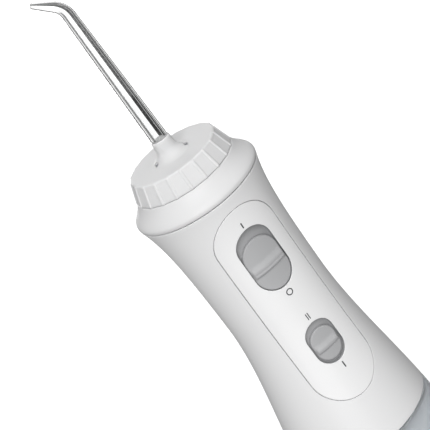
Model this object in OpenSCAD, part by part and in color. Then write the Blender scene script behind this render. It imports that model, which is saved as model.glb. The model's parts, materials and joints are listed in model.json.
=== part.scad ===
// Cordless water flosser: a hand-held pump unit with a bent jet tip, a rotation knob,
// two slide switches and a detachable water tank that also forms the base.
// +Z is up, the switch panel faces -Y, and the origin is the foot of the grip's axis.

/* [Grip] */
// Radius of the grip at its waist
waist_r = 21.95; // [21.5:0.05:22.5]
// Extra radius where the grip meets the shoulder collar
top_flare = 4.25; // [3.8:0.05:4.6]
// Height over which that flare dies away
flare_decay = 13.5; // [12:0.5:15]
// Height at which the base starts to widen
flare_z = 145; // [143:1:147]
// Height over which it widens
flare_h = 95; // [92:1:98]
// Extra radius of the base
base_flare = 10; // [9.5:0.1:10.5]
// How far the base's axis moves back
back_shift = 8; // [7.5:0.1:8.5]
// Wall thickness of the grip
wall = 2.2; // [2.1:0.05:2.3]
// Top edge of the grip
grip_top_z = 198.4; // [198:0.1:198.6]
// Parting line between grip and tank
join_z = 78; // [77.6:0.1:78.2]
// Width of the parting grooves
groove = 0.4; // [0.3:0.05:0.5]

/* [Switch panel] */
// Width of the oblong panel
panel_w = 28; // [27:0.5:29]
// Lower end of the panel
panel_z0 = 100.6; // [100:0.2:101.4]
// Upper end of the panel
panel_z1 = 193.2; // [192:0.2:193.4]
// Thickness of the panel
panel_t = 1.0; // [0.9:0.05:1.1]
// Width of the power slider's window
power_w = 15.9; // [15.5:0.1:16.2]
// Lower end of the power slider's window
power_z0 = 155.4; // [155:0.1:156]
// Height of the power slider's window
power_h = 28.1; // [27.6:0.1:28.4]
// Stroke of the power slider from off to on
power_travel = 5; // [4:0.1:5]
// Width of the pressure slider's window
pressure_w = 12.7; // [12.2:0.1:13]
// Lower end of the pressure slider's window
pressure_z0 = 117.6; // [117:0.1:118]
// Height of the pressure slider's window
pressure_h = 19.2; // [19:0.1:19.6]
// Stroke of the pressure slider from low to high
pressure_travel = 2.4; // [2:0.1:2.4]

/* [Collar and knob] */
// Greatest radius of the shoulder collar
collar_r = 26.5; // [26.4:0.05:26.6]
// Lower edge of the knob
knob_z0 = 207.9; // [207.8:0.1:208.2]
// Top face of the knob
knob_z1 = 216; // [215.8:0.1:216.2]
// Radius of the knob's lower edge
knob_r0 = 21.1; // [20.8:0.1:21.3]
// Radius of the knob's top face
knob_r1 = 18.4; // [18.2:0.1:18.6]
// Number of grip ribs round the knob
rib_count = 20; // [16:1:24]
// Angle at which the first rib stands, in degrees from the right side
rib_turn = 1.2; // [0:0.1:18]
// Height of the boss that carries the tip
boss_z = 223.4; // [222:0.2:224]

/* [Jet tip] */
// Outer radius of the tip where it leaves the boss
tip_r0 = 3.4; // [3.3:0.05:3.42]
// Outer radius of the tip where its bend starts
tip_r1 = 2.4; // [2.2:0.05:2.6]
// Outer radius of the tip where its bend ends
tip_r2 = 1.95; // [1.7:0.05:2.1]
// Outer radius at the nozzle
tip_r3 = 1.05; // [1:0.05:1.2]
// Height at which the tip starts to bend
bend_z = 281; // [276:0.2:284]
// Radius of the bend's centre line
bend_r = 7.4; // [6:0.2:9]
// Angle of the bend
bend_a = 50.5; // [40:0.5:60]
// Length of the straight nozzle
nozzle_l = 8.4; // [7:0.2:10]
// Direction in which the nozzle points, seen from above
tip_heading = 166.5; // [0:0.5:360]

/* [Tank] */
// Bottom of the tank's shell
tank_z0 = 1; // [0.9:0.1:1.2]
// Wall thickness of the tank
tank_wall = 2; // [1.8:0.1:2.2]
// Rounding of the tank's lower edge
tank_round = 7; // [5:0.5:8]
// Radius of the opening in the tank's top
mouth_r = 22; // [21.9:0.05:22.1]
// Height of the filling door's middle
door_z = 40; // [38:0.5:42]
// Radius of the filling door
door_r = 11.5; // [11:0.1:11.6]
// Radius of the rubber pad under the base
pad_r = 23; // [20:0.5:24]

/* [Drive] */
// Gear tooth module
gear_m = 0.6; // [0.6:0.1:0.6]
// Teeth of the motor pinion
pinion_n = 10; // [10:1:10]
// Teeth of the crank gear
gear_n = 50; // [50:1:50]
// Height of the motor's axis
motor_z = 93; // [93:0.5:93.5]
// Throw of the crank
crank_throw = 3.4; // [3:0.1:3.4]
// Length of the connecting rod between its bores
rod_l = 24; // [24:0.5:24.5]
// Radius of the pump's bore
bore_r = 4; // [4:0.1:4.1]

/* [Hidden] */
$fn = 48;

slack = 0.1;
stem_z = 204;
tip_z0 = 223;
bend_s0 = bend_z - tip_z0;
bend_s1 = bend_s0 + bend_r * bend_a * PI / 180;
pin_slack = 0.05;
facets = 60;
gear_z = motor_z + gear_m * (gear_n + pinion_n) / 2;
crank_z = gear_z + crank_throw;
wrist_z = crank_z + rod_l;
gear_y0 = -12;
gear_y1 = -8.5;
rod_y0 = -8;
rod_y1 = -5;
pump_y = -6.5;
pump_z0 = 140;
pump_z1 = 157;
head_z1 = 166;
deck_z0 = 193.4;
deck_z1 = 196.4;
neck_z = 212.3;
hub_r = 6.3;
hub_z = 199.2;
cell_r = 7.1;
cell_x = 7.5;
cell_y = 10;
pad_t = 1.6;
suction_x = -15.5;
suction_y = 0.5;
cap_y = 6.3;
mouth_y = 6.5;
slider_r = 21.75;
slider_t = 1;
floor_r = 20.5;
board_y0 = -16.4;
board_y1 = -15;
power_c = power_z0 + 0.2 + 11.3;
pressure_c = pressure_z0 + 1.3 + 7.25;
button_z = 93;
hinge_y = back_shift + waist_r + base_flare + 0.8;
hinge_z = door_z - door_r - 1.5;

// ---- the outer form: circles whose radius and centre follow the height ----
function ease(t) = 1 - pow(1 - pow(t, 1.75), 2.2);
function low(z) = ease(max(0, min(1, (flare_z - z) / flare_h)));
function body_r(z) = waist_r + top_flare * exp((z - grip_top_z) / flare_decay) + base_flare * low(z);
function body_c(z) = back_shift * low(z);
function rounding(z, r) = z >= tank_z0 + r ? 0 : r - sqrt(r * r - pow(tank_z0 + r - z, 2));
function levels(z0, z1, n) = [for (i = [0:n]) z0 + (z1 - z0) * i / n];

// A solid of the outer form between the given heights, drawn in by inset
module form(zs, inset = 0, round_r = 0) {
    points = [for (z = zs, k = [0:facets - 1])
        let (r = body_r(z) - inset - (round_r > 0 ? rounding(z, round_r) : 0), a = 360 * k / facets)
        [r * cos(a), body_c(z) + r * sin(a), z]];
    top = (len(zs) - 1) * facets;
    sides = [for (j = [0:len(zs) - 2], k = [0:facets - 1])
        let (a = j * facets, b = (k + 1) % facets)
        [a + k, a + facets + k, a + facets + b, a + b]];
    caps = [[for (k = [0:facets - 1]) k], [for (k = [facets - 1:-1:0]) top + k]];
    polyhedron(points, concat(sides, caps), convexity = 6);
}

// ---- shared shapes ----
module tube(r0, r1, z0, z1) {
    difference() {
        translate([0, 0, z0]) cylinder(r = r1, h = z1 - z0);
        translate([0, 0, z0 - 1]) cylinder(r = r0, h = z1 - z0 + 2);
    }
}

module rod_y(r, x, z, y0, y1) {
    translate([x, y0, z]) rotate([-90, 0, 0]) cylinder(r = r, h = y1 - y0);
}

module rod_x(r, y, z, x0, x1) {
    translate([x0, y, z]) rotate([0, 90, 0]) cylinder(r = r, h = x1 - x0);
}

module box(x0, x1, y0, y1, z0, z1) {
    translate([x0, y0, z0]) cube([x1 - x0, y1 - y0, z1 - z0]);
}

// An upright oblong with round ends, running along Y
module oblong(w, z0, z1, y0, y1) {
    rod_y(w / 2, 0, z0 + w / 2, y0, y1);
    rod_y(w / 2, 0, z1 - w / 2, y0, y1);
    box(-w / 2, w / 2, y0, y1, z0 + w / 2, z1 - w / 2);
}

module oring(major, minor, z) {
    translate([0, 0, z]) rotate_extrude() translate([major, 0]) circle(r = minor, $fn = 24);
}

// Half the angle of an involute tooth at radius r
function inv(a) = tan(a) * 180 / PI - a;
function half_tooth(r, n) =
    let (rp = gear_m * n / 2, rb = rp * cos(20))
    90 / n - 0.1 / rp * 180 / PI + inv(20) - inv(acos(min(1, rb / max(r, rb))));

module gear_outline(n, turn) {
    rp = gear_m * n / 2;
    radii = [rp - 1.25 * gear_m, rp * cos(20) + 0.01, rp, rp + 0.5 * gear_m, rp + 0.9 * gear_m];
    polygon([for (i = [0:n - 1]) each concat(
        [for (r = radii) let (a = turn + 360 * i / n - half_tooth(r, n)) [r * cos(a), r * sin(a)]],
        [for (k = [len(radii) - 1:-1:0])
            let (r = radii[k], a = turn + 360 * i / n + half_tooth(r, n)) [r * cos(a), r * sin(a)]])]);
}

module gear_y(n, z, y0, y1, turn) {
    translate([0, y1, z]) rotate([90, 0, 0]) linear_extrude(y1 - y0) gear_outline(n, turn);
}

// ---- jet tip: a tapered tube swept along a straight run, a bend and a straight nozzle ----
function tip_turn(s) = max(0, min(bend_a, (s - bend_z + tip_z0) / bend_r * 180 / PI));
function tip_place(s) =
    let (a = tip_turn(s), out = max(0, s - bend_s1))
    [bend_r * (1 - cos(a)) + out * sin(a), 0,
        tip_z0 + min(s, bend_s0) + bend_r * sin(a) + out * cos(a)];
function blend(x, x0, x1, y0, y1) = y0 + (y1 - y0) * max(0, min(1, (x - x0) / (x1 - x0)));
function tip_r(s) = s < bend_s0 ? blend(s, 0, bend_s0, tip_r0, tip_r1)
    : s < bend_s1 ? blend(s, bend_s0, bend_s1, tip_r1, tip_r2)
    : blend(s, bend_s1, bend_s1 + nozzle_l, tip_r2, tip_r3);
function tip_bore(s) = s < bend_s0 ? blend(s, 0, bend_s0, 2.02, 1.44)
    : s < bend_s1 ? blend(s, bend_s0, bend_s1, 1.44, 1.15)
    : blend(s, bend_s1, bend_s1 + nozzle_l, 1.15, 0.4);

// A solid round tube along the tip's centre line, through the stations ss with the radii rs
module swept(ss, rs, sides) {
    points = [for (i = [0:len(ss) - 1], k = [0:sides - 1])
        let (a = tip_turn(ss[i]), b = 360 * k / sides)
        tip_place(ss[i]) + rs[i] * [cos(b) * cos(a), sin(b), -cos(b) * sin(a)]];
    skin = [for (i = [0:len(ss) - 2], k = [0:sides - 1])
        let (a = i * sides, b = (k + 1) % sides)
        [a + k, a + sides + k, a + sides + b, a + b]];
    last = (len(ss) - 1) * sides;
    ends = [[for (k = [0:sides - 1]) k], [for (k = [sides - 1:-1:0]) last + k]];
    polyhedron(points, concat(skin, ends), convexity = 6);
}

module jet_tip() {
    bend = levels(bend_s0, bend_s1, 10);
    outer = concat([0, bend_s0 / 2], bend, [bend_s1 + nozzle_l]);
    inner = concat([-0.5], bend, [bend_s1 + nozzle_l + 1]);
    color([0.86, 0.88, 0.9, 0.5]) difference() {
        union() {
            rotate([0, 0, tip_heading]) swept(outer, [for (s = outer) tip_r(s)], 32);
            translate([0, 0, stem_z]) cylinder(r = 3.45, h = tip_z0 + 0.5 - stem_z);
        }
        rotate([0, 0, tip_heading]) swept(inner, [for (s = inner) tip_bore(s)], 16);
        translate([0, 0, stem_z - 1]) cylinder(r = 1.28, h = tip_z0 + 1 - stem_z);
        tube(2.5, 4, 206.4, 207.6);
    }
}

module tip_oring() {
    color([0.2, 0.2, 0.22]) oring(3.0, 0.48, 207);
}

// ---- rotation knob, which carries the tip ----
function flank_r(z) = knob_r0 + (knob_r1 - knob_r0) * (z - knob_z0) / (knob_z1 - knob_z0);

module knob_rib() {
    lean = atan((knob_r0 - knob_r1) / (knob_z1 - knob_z0));
    translate([knob_r0, 0, knob_z0]) rotate([0, -lean, 0])
        box(-1.4, 0.35, -0.55, 0.55, 0.1, 7.9);
}

// The boss tapers slightly, then flares out into the knob's top in a quarter ellipse
module boss() {
    top_r = 3.85;
    waist = 4.05;
    out = 5;
    rise = 4.4;
    rotate_extrude() polygon(concat(
        [[0, knob_z1 - 1.2], [0, boss_z], [top_r - 0.3, boss_z], [top_r, boss_z - 0.3]],
        [for (a = [0:9:90]) [waist + out * (1 - cos(a)), knob_z1 + rise * (1 - sin(a))]],
        [[waist + out, knob_z1 - 1.2]]));
}

module rotation_knob() {
    rim = 0.7;
    color([0.93, 0.93, 0.94]) difference() {
        union() {
            rotate([0, 0, rib_turn]) translate([0, 0, knob_z0])
                linear_extrude(knob_z1 - knob_z0 - rim, scale = flank_r(knob_z1 - rim) / knob_r0)
                polygon([for (k = [0:rib_count - 1])
                    knob_r0 * [cos(360 * k / rib_count), sin(360 * k / rib_count)]]);
            translate([0, 0, knob_z1 - rim - 0.01])
                cylinder(r1 = knob_r1 - 0.1, r2 = knob_r1 - rim, h = rim + 0.01);
            for (k = [0:rib_count - 1])
                rotate([0, 0, rib_turn + 360 * k / rib_count]) knob_rib();
            boss();
        }
        difference() {
            translate([0, 0, knob_z0 - 1]) cylinder(r1 = 19, r2 = 16.6, h = 213.6 - knob_z0 + 1);
            translate([0, 0, hub_z - 1]) cylinder(r = hub_r, h = 20);
        }
        translate([0, 0, hub_z - 1]) cylinder(r = 3.52, h = boss_z - hub_z + 2);
        for (s = [-1, 1]) rotate([0, 0, tip_heading])
            translate([s * 6.6, 0, 0]) box(-0.9, 0.9, -1.3, 1.3, 213.8, 219);
    }
    color([0.93, 0.93, 0.94]) difference() {
        tube(3.52, hub_r, hub_z, 213.7);
        tube(5.35, hub_r + 1, 204.4, 205.6);
        tube(5.4, hub_r + 1, 200.2, 201);
    }
}

module knob_oring() {
    color([0.2, 0.2, 0.22]) oring(5.95, 0.58, 205);
}

module knob_clip() {
    color([0.75, 0.76, 0.78]) difference() {
        tube(5.45, 7.6, 200.25, 200.95);
        box(0, 9, -2.2, 2.2, 200, 201.2);
    }
}

module tip_latches() {
    color([0.35, 0.36, 0.38]) for (s = [-1, 1]) rotate([0, 0, tip_heading])
        translate([s * 6.6, 0, 0]) box(-0.45, 0.45, -0.9, 0.9, 213.9, 215.8);
}

// ---- shoulder collar and the deck that carries the neck ----
module shoulder_collar() {
    c = collar_r;
    color([0.96, 0.96, 0.96]) rotate_extrude() polygon([[23.3, 196.7],
        [23.3, grip_top_z + groove], [c - 0.6, grip_top_z + groove], [c - 0.1, 199.4], [c, 200.1],
        [c - 0.25, 200.9], [c - 1.05, 202], [c - 2.25, 203.2], [c - 3.5, 204.6], [c - 4.5, 206],
        [c - 5, 206.9], [c - 5.25, 207.35], [c - 5.6, 207.6], [c - 6.4, 207.6], [c - 6.4, 206.3],
        [c - 5.4, 204.4], [c - 4, 202], [c - 3.2, 200.4], [21.6, 199.4], [21.6, 196.7]]);
}

module neck_deck() {
    color([0.8, 0.81, 0.82]) difference() {
        union() {
            translate([0, 0, deck_z0]) cylinder(r = 23.35, h = deck_z1 - deck_z0);
            translate([0, 0, deck_z0]) cylinder(r = 9.2, h = neck_z - deck_z0);
            translate([0, 0, 186]) cylinder(r = 2.4, h = 8);
        }
        translate([0, 0, 201.5]) cylinder(r = 6.6, h = 12);
        translate([0, 0, 197]) cylinder(r = 8, h = 4.5);
        translate([0, 0, 185]) cylinder(r = 1.3, h = 14);
    }
}

// ---- grip shell with its switch panel ----
module handle_shell() {
    color([0.95, 0.955, 0.96]) difference() {
        form(levels(join_z + groove / 2, grip_top_z, 24));
        form(levels(join_z - 2, deck_z0 - 0.05, 23), wall);
        translate([0, 0, deck_z0 - 0.05]) cylinder(r = 23.45, h = 10);
        translate([0, cap_y, join_z - 2]) cylinder(r = 27.9, h = 5.5);
        difference() {
            oblong(panel_w + 0.16, panel_z0 - 0.08, panel_z1 + 0.08, -40, -5);
            form(levels(panel_z0 - 5, panel_z1 + 4, 18), panel_t + 0.05);
        }
        oblong(power_w, power_z0, power_z0 + power_h, -40, -5);
        oblong(pressure_w, pressure_z0, pressure_z0 + pressure_h, -40, -5);
        translate([-5, 0, button_z]) rotate([-90, 0, 0]) cylinder(r = 4.25, h = 50);
        translate([5, 0, button_z]) rotate([-90, 0, 0]) cylinder(r = 4.25, h = 50);
        box(-5, 5, 10, 50, button_z - 4.25, button_z + 4.25);
        for (s = [-1, 1]) rod_y(1.65, s * 4, 150, 10, 30);
    }
}

module switch_panel() {
    color([0.98, 0.98, 0.98]) difference() {
        intersection() {
            oblong(panel_w, panel_z0, panel_z1, -40, -5);
            form(levels(panel_z0 - 5, panel_z1 + 4, 19));
        }
        form(levels(panel_z0 - 6, panel_z1 + 5, 19), panel_t);
        oblong(power_w, power_z0, power_z0 + power_h, -40, -5);
        oblong(pressure_w, pressure_z0, pressure_z0 + pressure_h, -40, -5);
    }
}

// A slider: a curved oblong face with a ridge across it, and a stem to its switch
module slider(w, h, zc, ridge_z) {
    intersection() {
        tube(slider_r - slider_t, slider_r, zc - h, zc + h);
        oblong(w, zc - h / 2, zc + h / 2, -30, -5);
    }
    intersection() {
        tube(slider_r - 0.1, slider_r + 0.9, zc - h, zc + h);
        oblong(w - 0.6, zc - h / 2, zc + h / 2, -30, -5);
        translate([0, 0, ridge_z]) box(-20, 20, -30, -5, -1.6, 1.6);
    }
    box(-1.5, 1.5, -slider_r + slider_t / 2, -17.3, zc - 1.5, zc + 1.5);
}

// The floor of a slider's window: a plug in the window and a flange behind the wall
module slider_floor(w, z0, h, zc, travel) {
    difference() {
        union() {
            intersection() {
                tube(19, floor_r, z0 - 5, z0 + h + 5);
                oblong(w - 2 * slack, z0 + slack, z0 + h - slack, -30, -5);
            }
            intersection() {
                tube(19, 19.6, z0 - 5, z0 + h + 5);
                oblong(w + 2, z0 - 1, z0 + h + 1, -30, -5);
            }
        }
        box(-1.7, 1.7, -30, -5, zc - 1.8, zc + travel + 1.8);
    }
}

module power_slider() {
    color([0.74, 0.74, 0.75]) slider(power_w - 0.6, 22.6, power_c, power_c);
}

module power_floor() {
    color([0.55, 0.55, 0.56]) slider_floor(power_w, power_z0, power_h, power_c, power_travel);
}

module pressure_slider() {
    color([0.74, 0.74, 0.75]) slider(pressure_w - 1.6, 14.5, pressure_c, pressure_c);
}

module pressure_floor() {
    color([0.55, 0.55, 0.56])
        slider_floor(pressure_w, pressure_z0, pressure_h, pressure_c, pressure_travel);
}

// ---- electrics ----
module circuit_board() {
    color([0.1, 0.35, 0.2]) box(-10.5, 10.5, board_y0, board_y1, 106, 188);
}

module switch_block(zc, travel) {
    difference() {
        box(-4.5, 4.5, -18.2, board_y0 - 0.02, zc - 4.5, zc + travel + 4.5);
        box(-1.7, 1.7, -30, -17, zc - 1.8, zc + travel + 1.8);
    }
}

module power_switch() {
    color([0.6, 0.61, 0.63]) switch_block(power_c, power_travel);
}

module pressure_switch() {
    color([0.6, 0.61, 0.63]) switch_block(pressure_c, pressure_travel);
}

module cell(x) {
    translate([x, cell_y, 102.5]) cylinder(r = cell_r, h = 48.9);
    translate([x, cell_y, 151.3]) cylinder(r = 2.6, h = 1.4);
}

module battery_left() {
    color([0.2, 0.45, 0.35]) cell(-cell_x);
}

module battery_right() {
    color([0.2, 0.45, 0.35]) cell(cell_x);
}

module battery_holder() {
    color([0.2, 0.2, 0.22]) intersection() {
        translate([0, 0, 95]) cylinder(r = 19.3, h = 65);
        union() {
            box(-16, 16, 2.6, 18.8, 100.8, 101.9);
            box(-16, 16, 2.6, 18.8, 153.4, 154.6);
            box(-2, 2, 15, 18.8, 100.8, 154.6);
        }
    }
}

module battery_contacts() {
    color([0.8, 0.8, 0.78]) {
        box(-11.5, 11.5, 7, 13, 102.0, 102.4);
        for (s = [-1, 1]) translate([s * cell_x, 0, 0]) box(-4, 4, 7, 13, 152.8, 153.3);
    }
}

module charge_contacts() {
    color([0.8, 0.8, 0.78]) for (s = [-1, 1]) rod_y(1.58, s * 4, 150, 19.4, 21.6);
}

// ---- motor ----
module can_outline(r, half) {
    intersection() {
        circle(r = r);
        square([4 * r, 2 * half], center = true);
    }
}

module along_motor(y0, y1) {
    translate([0, y1, motor_z]) rotate([90, 0, 0]) linear_extrude(y1 - y0) children();
}

module motor_can() {
    color([0.7, 0.71, 0.73]) difference() {
        union() {
            along_motor(-6, 16) can_outline(10, 7.7);
            rod_y(3, 0, motor_z, -7.2, -5.5);
        }
        along_motor(-5, 17) can_outline(9.2, 6.9);
        rod_y(1.05, 0, motor_z, -8, 0);
    }
}

module motor_endcap() {
    color([0.15, 0.15, 0.16]) difference() {
        along_motor(16.05, 18) can_outline(10, 7.7);
        rod_y(1.05, 0, motor_z, 10, 19);
    }
}

module motor_armature() {
    color([0.72, 0.42, 0.22]) difference() {
        rod_y(6, 0, motor_z, -3, 13);
        rod_y(1.02, 0, motor_z, -4, 14);
    }
}

module motor_shaft() {
    color([0.8, 0.8, 0.82]) rod_y(1, 0, motor_z, gear_y0 - 0.3, 17.6);
}

module pinion() {
    color([0.85, 0.75, 0.4]) difference() {
        gear_y(pinion_n, motor_z, gear_y0, -7.6, 90);
        rod_y(1.02, 0, motor_z, -20, 0);
    }
}

// ---- crank gear, rod and piston ----
module drive_gear() {
    color([0.92, 0.9, 0.84]) difference() {
        gear_y(gear_n, gear_z, gear_y0, gear_y1, 90 + 180 / gear_n);
        difference() {
            rod_y(12.8, 0, gear_z, gear_y0 - 1, gear_y0 + 1.4);
            rod_y(5.6, 0, gear_z, gear_y0 - 2, gear_y1);
        }
        rod_y(1.5 + pin_slack, 0, gear_z, -20, 0);
        rod_y(1.6, 0, crank_z, gear_y1 - 1.6, 0);
    }
}

module gear_axle() {
    color([0.8, 0.8, 0.82]) {
        rod_y(1.5, 0, gear_z, -14.5, gear_y1 - 0.2);
        rod_y(2.3, 0, gear_z, -14.9, -14.3);
    }
}

module crank_pin() {
    color([0.8, 0.8, 0.82]) {
        rod_y(1.5, 0, crank_z, gear_y1 + 0.2, rod_y1 + 0.1);
        rod_y(2.3, 0, crank_z, rod_y1 + 0.05, rod_y1 + 0.7);
    }
}

module connecting_rod() {
    color([0.93, 0.93, 0.9]) difference() {
        union() {
            rod_y(3.4, 0, crank_z, rod_y0, rod_y1);
            rod_y(2.3, 0, wrist_z, rod_y0, rod_y1);
            box(-1.6, 1.6, rod_y0 + 0.4, rod_y1 - 0.4, crank_z + 1, wrist_z - 1);
        }
        rod_y(1.52, 0, crank_z, -20, 0);
        rod_y(1.06, 0, wrist_z, -20, 0);
    }
}

module wrist_pin() {
    color([0.8, 0.8, 0.82]) rod_y(1, 0, wrist_z, pump_y - 3.6, pump_y + 3.6);
}

module piston() {
    color([0.9, 0.9, 0.92]) difference() {
        translate([0, pump_y, wrist_z - 3.4]) cylinder(r = bore_r - pin_slack, h = 17);
        box(-5, 5, rod_y0 - 0.15, rod_y1 + 0.15, wrist_z - 5, wrist_z + 3.2);
        rod_y(1.02, 0, wrist_z, -20, 0);
        translate([0, pump_y, 0]) tube(2.9, 5, wrist_z + 10.4, wrist_z + 12);
    }
}

module piston_seal() {
    color([0.2, 0.2, 0.22])
        translate([0, pump_y, 0]) tube(2.95, bore_r - 0.02, wrist_z + 10.5, wrist_z + 11.9);
}

module pump_body() {
    color([0.86, 0.87, 0.88]) difference() {
        union() {
            translate([0, pump_y, pump_z0]) cylinder(r = 6.2, h = pump_z1 - pump_z0);
            box(-11, 11, pump_y - 3, pump_y + 3, pump_z0, pump_z0 + 1.6);
        }
        translate([0, pump_y, pump_z0 - 1]) cylinder(r = bore_r, h = pump_z1 - pump_z0 + 2);
        for (s = [-1, 1]) translate([s * 9, pump_y, pump_z0 - 1]) cylinder(r = 1.05, h = 4);
    }
}

module pump_head() {
    color([0.8, 0.81, 0.83]) difference() {
        union() {
            translate([0, pump_y, pump_z1]) cylinder(r = 6.2, h = head_z1 - pump_z1);
            box(-4, 4, pump_y, 0, pump_z1, head_z1);
            translate([0, 0, pump_z1]) cylinder(r = 4, h = head_z1 - pump_z1);
            translate([0, 0, head_z1 - 1]) cylinder(r = 2.4, h = 7);
            box(suction_x, 0, suction_y - 2.4, suction_y + 2.4, 158, 163.5);
            translate([suction_x, suction_y, 157.5]) cylinder(r = 2.8, h = 6);
            translate([-9.5, suction_y, 157.5]) cylinder(r = 3.6, h = 7.5);
            translate([suction_x, suction_y, 153]) cylinder(r = 0.98, h = 5);
        }
        translate([0, pump_y, 158.5]) cylinder(r = 3.2, h = 5.5);
        translate([0, pump_y, pump_z1 - 1]) cylinder(r = 1.2, h = 4);
        rod_y(1.2, 0, 162, pump_y, 0);
        translate([0, 0, 161]) cylinder(r = 1.3, h = 20);
        translate([-9.5, suction_y, 159]) cylinder(r = 2.5, h = 4);
        rod_x(0.8, suction_y, 158.9, suction_x, -9.5);
        translate([suction_x, suction_y, 150]) cylinder(r = 0.6, h = 9);
        translate([-9.5, suction_y, 162]) rotate([0, 0, atan2(pump_y - suction_y, 9.5)])
            rotate([0, 90, 0]) cylinder(r = 0.9, h = 8);
    }
}

module outlet_valve() {
    color([0.25, 0.25, 0.27]) translate([0, pump_y, 158.55]) cylinder(r = 2.6, h = 1);
}

module inlet_valve() {
    color([0.25, 0.25, 0.27]) translate([-9.5, suction_y, 159.9]) cylinder(r = 2.1, h = 0.9);
}

module outlet_tube() {
    color([0.85, 0.86, 0.86]) tube(2.45, 3.6, 167, 192.8);
}

module suction_tube() {
    color([0.85, 0.86, 0.86])
        translate([suction_x, suction_y, 0]) tube(1.02, 2, 84.3, 157.2);
}

// ---- chassis and base cap ----
module chassis() {
    color([0.3, 0.31, 0.33]) difference() {
        union() {
            box(-12, 12, -14.2, -12.5, 84.1, 139.9);
            box(-12, 12, -14.2, 0.8, 138, 139.9);
            box(-12, 12, -14.2, 18.2, 84.1, 85.2);
            for (s = [-1, 1]) translate([s * 10.9, 0, 0]) box(-0.75, 0.75, 4, 16, 84.1, 97);
            for (s = [-1, 1]) translate([s * 13.4, 9, 84.1]) cylinder(r = 2.3, h = 5.5);
            translate([0, -10.3, 84.1]) cylinder(r = 2.4, h = 3.6);
        }
        rod_y(1.52, 0, gear_z, -20, 0);
        translate([0, pump_y, 130]) cylinder(r = 4.5, h = 12);
        for (s = [-1, 1]) translate([s * 9, pump_y, 136]) cylinder(r = 1.02, h = 5);
        for (p = cap_screw_places) translate([p.x, p.y, 83]) cylinder(r = 1.22, h = 4.6);
    }
}

cap_screw_places = [[-13.4, 9], [13.4, 9], [0, -10.3]];

module base_cap() {
    color([0.3, 0.31, 0.33]) difference() {
        union() {
            translate([0, cap_y, join_z + 0.3]) cylinder(r = 27.8, h = 3.1);
            translate([0, 6.2, join_z + 3.3]) cylinder(r = 26.7, h = 2.7);
            translate([0, mouth_y, 0]) tube(19.4, 21.4, 71.5, join_z + 0.4);
            translate([suction_x, suction_y, 83.9]) cylinder(r = 0.98, h = 4.4);
            translate([suction_x, suction_y, 75]) cylinder(r = 3.2, h = 4);
            box(-5, 5, 20, 21.6, 83.9, 97);
        }
        translate([0, mouth_y, 0]) tube(20.5, 23, 73.8, 75.4);
        translate([0, cap_y, 0]) tube(26.9, 29, 79.2, 80.6);
        translate([suction_x, suction_y, 70]) cylinder(r = 2.05, h = 11);
        translate([suction_x, suction_y, 80]) cylinder(r = 0.6, h = 10);
        box(-4.4, 4.4, 27.2, 31.6, 70, 90);
        for (p = cap_screw_places) {
            translate([p.x, p.y, 70]) cylinder(r = 1.25, h = 20);
            translate([p.x, p.y, 70]) cylinder(r = 2.35, h = 10.5);
        }
    }
}

module cap_seal() {
    color([0.2, 0.2, 0.22]) translate([0, cap_y, 0]) oring(27.42, 0.45, 79.9);
}

module reservoir_seal() {
    color([0.2, 0.2, 0.22]) translate([0, mouth_y, 0]) oring(21.25, 0.68, 74.6);
}

module intake_tube() {
    color([0.88, 0.89, 0.9]) translate([suction_x, suction_y, 0]) tube(1, 2, 8, 80.8);
}

module intake_filter() {
    color([0.75, 0.76, 0.78]) translate([suction_x, suction_y, 0]) difference() {
        union() {
            translate([0, 0, 5.5]) cylinder(r = 3, h = 5.5);
        }
        translate([0, 0, 7.9]) cylinder(r = 2.05, h = 10);
        translate([0, 0, 5]) cylinder(r = 1, h = 10);
        for (a = [0:60:300]) rotate([0, 0, a]) box(2, 4, -0.4, 0.4, 5, 7.5);
    }
}

// ---- release button ----
module button_outline(r, y0, y1) {
    rod_y(r, -5, button_z, y0, y1);
    rod_y(r, 5, button_z, y0, y1);
    box(-5, 5, y0, y1, button_z - r, button_z + r);
}

module release_button() {
    color([0.7, 0.7, 0.71]) {
        intersection() {
            button_outline(4, 27.5, 40);
            translate([0, 4.9, button_z - 10]) cylinder(r = 28.7, h = 20);
        }
        box(-4, 4, 29.5, 31.2, 79, button_z);
    }
}

// A coil of round wire along Y, swept as one closed solid
module coil_y(major, wire, y0, y1, turns) {
    sides = 8;
    steps = turns * 16;
    points = [for (i = [0:steps], k = [0:sides - 1])
        let (a = 360 * turns * i / steps, b = 360 * k / sides, r = major + wire * cos(b))
        [r * cos(a), y0 + (y1 - y0) * i / steps + wire * sin(b), r * sin(a)]];
    skin = [for (i = [0:steps - 1], k = [0:sides - 1])
        let (a = i * sides, b = (k + 1) % sides)
        [a + k, a + b, a + sides + b, a + sides + k]];
    ends = [[for (k = [sides - 1:-1:0]) k], [for (k = [0:sides - 1]) steps * sides + k]];
    polyhedron(points, concat(skin, ends), convexity = 10);
}

module release_spring() {
    color([0.8, 0.8, 0.82]) translate([0, 0, button_z]) coil_y(2.4, 0.35, 22.0, 27.1, 5);
}

// ---- tank ----
module tank_outline() {
    form(concat([for (a = [0:15:75]) tank_z0 + tank_round * (1 - cos(a))],
        levels(tank_z0 + tank_round, join_z - groove / 2, 12)), 0, tank_round);
}

module tank_hollow() {
    form(concat([tank_z0 + tank_wall + 0.01, tank_z0 + tank_wall + 1.5, tank_z0 + tank_wall + 4],
        levels(tank_z0 + tank_round + 1, join_z - groove / 2 - 2.2, 11)), tank_wall, tank_round);
}

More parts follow.
